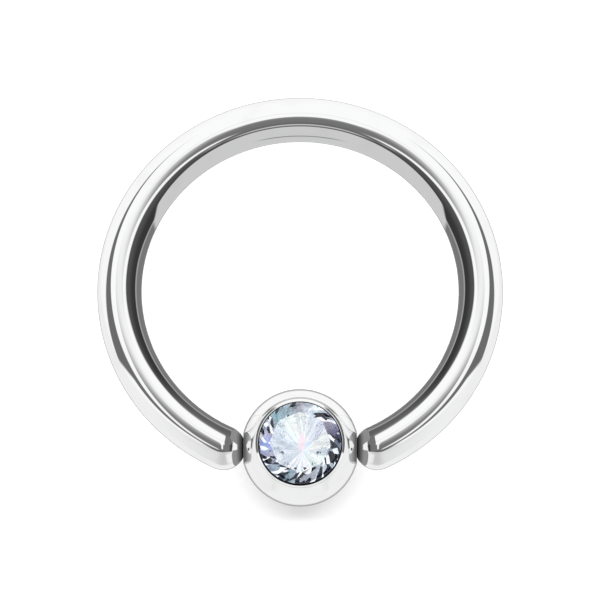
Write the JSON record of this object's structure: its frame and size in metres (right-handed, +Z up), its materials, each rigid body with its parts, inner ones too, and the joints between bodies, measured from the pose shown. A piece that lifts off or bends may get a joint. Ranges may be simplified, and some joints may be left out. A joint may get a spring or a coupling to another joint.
{
  "type": "captive bead ring",
  "caption": "Round wire ring for a piercing, closed by a steel bead with a clear brilliant-cut stone, held between its rounded ends.",
  "frame": {"origin": "on the surface the ring lies on, under the middle of its outline", "axes": "+X along the line through the wire's two ends and the bead's dimples, +Y from the bead to the back of the wire, +Z up, out of the lying ring"},
  "size_m": [0.0146, 0.0152, 0.0039],
  "materials": {
    "wire_steel": "mirror-polished surgical steel",
    "bead_steel": "mirror-polished surgical steel",
    "clear_stone": "clear polished cut stone"
  },
  "bodies": {
    "ring": {"wire_ring": "wire_steel"},
    "bead": {"bead": "bead_steel", "stone": "clear_stone"}
  },
  "joints": [
    {"name": "bead_spin", "type": "hinge", "parent": "ring", "child": "bead", "pos_m": [0, -0.00551, 0.0021], "axis": [1, 0, 0], "continuous": true}
  ]
}
